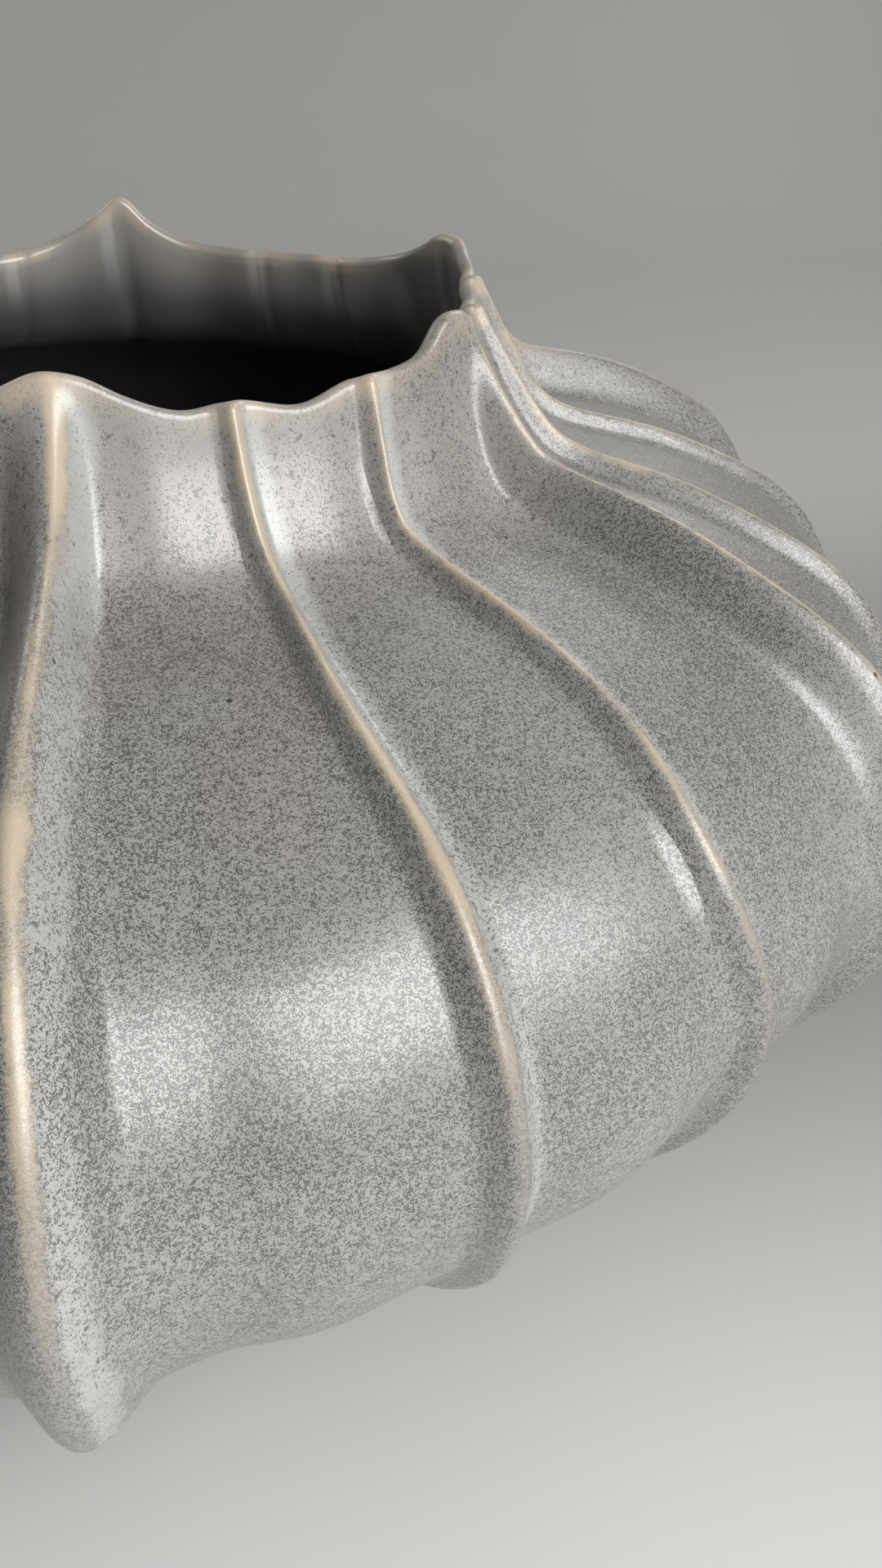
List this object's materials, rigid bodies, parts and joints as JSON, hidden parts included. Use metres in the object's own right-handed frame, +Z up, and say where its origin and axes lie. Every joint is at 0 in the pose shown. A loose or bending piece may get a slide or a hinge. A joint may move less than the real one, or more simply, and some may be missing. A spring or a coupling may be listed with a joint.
{
  "type": "vase",
  "caption": "Squat pleated stoneware vase with a wide belly, deep folds rising to a wavy open mouth, and a turned foot ring.",
  "frame": {"origin": "middle of the foot ring's resting face, on the vase's axis", "axes": "+Z up along the vase's axis out of the mouth; -Y towards the side that the picture shows; +X to the right seen from there"},
  "size_m": [0.3164, 0.3204, 0.1811],
  "materials": {
    "speckled_glaze": "satin light grey glaze with fine dark speckle, breaking tan on the ribs and lip",
    "bare_stoneware": "unglazed warm buff stoneware, fine sanded"
  },
  "bodies": {
    "root": {"foot_ring": "bare_stoneware", "base_slab": "speckled_glaze", "deep_fold_1": "speckled_glaze", "deep_fold_2": "speckled_glaze", "deep_fold_3": "speckled_glaze", "deep_fold_4": "speckled_glaze", "deep_fold_5": "speckled_glaze", "deep_fold_6": "speckled_glaze", "thin_rib_01": "speckled_glaze", "thin_rib_02": "speckled_glaze", "thin_rib_03": "speckled_glaze", "thin_rib_04": "speckled_glaze", "thin_rib_05": "speckled_glaze", "thin_rib_06": "speckled_glaze", "thin_rib_07": "speckled_glaze", "thin_rib_08": "speckled_glaze", "thin_rib_09": "speckled_glaze", "thin_rib_10": "speckled_glaze", "thin_rib_11": "speckled_glaze", "thin_rib_12": "speckled_glaze", "wall_gore_01": "speckled_glaze", "wall_gore_02": "speckled_glaze", "wall_gore_03": "speckled_glaze", "wall_gore_04": "speckled_glaze", "wall_gore_05": "speckled_glaze", "wall_gore_06": "speckled_glaze", "wall_gore_07": "speckled_glaze", "wall_gore_08": "speckled_glaze", "wall_gore_09": "speckled_glaze", "wall_gore_10": "speckled_glaze", "wall_gore_11": "speckled_glaze", "wall_gore_12": "speckled_glaze", "wall_gore_13": "speckled_glaze", "wall_gore_14": "speckled_glaze", "wall_gore_15": "speckled_glaze", "wall_gore_16": "speckled_glaze", "wall_gore_17": "speckled_glaze", "wall_gore_18": "speckled_glaze"}
  },
  "joints": []
}
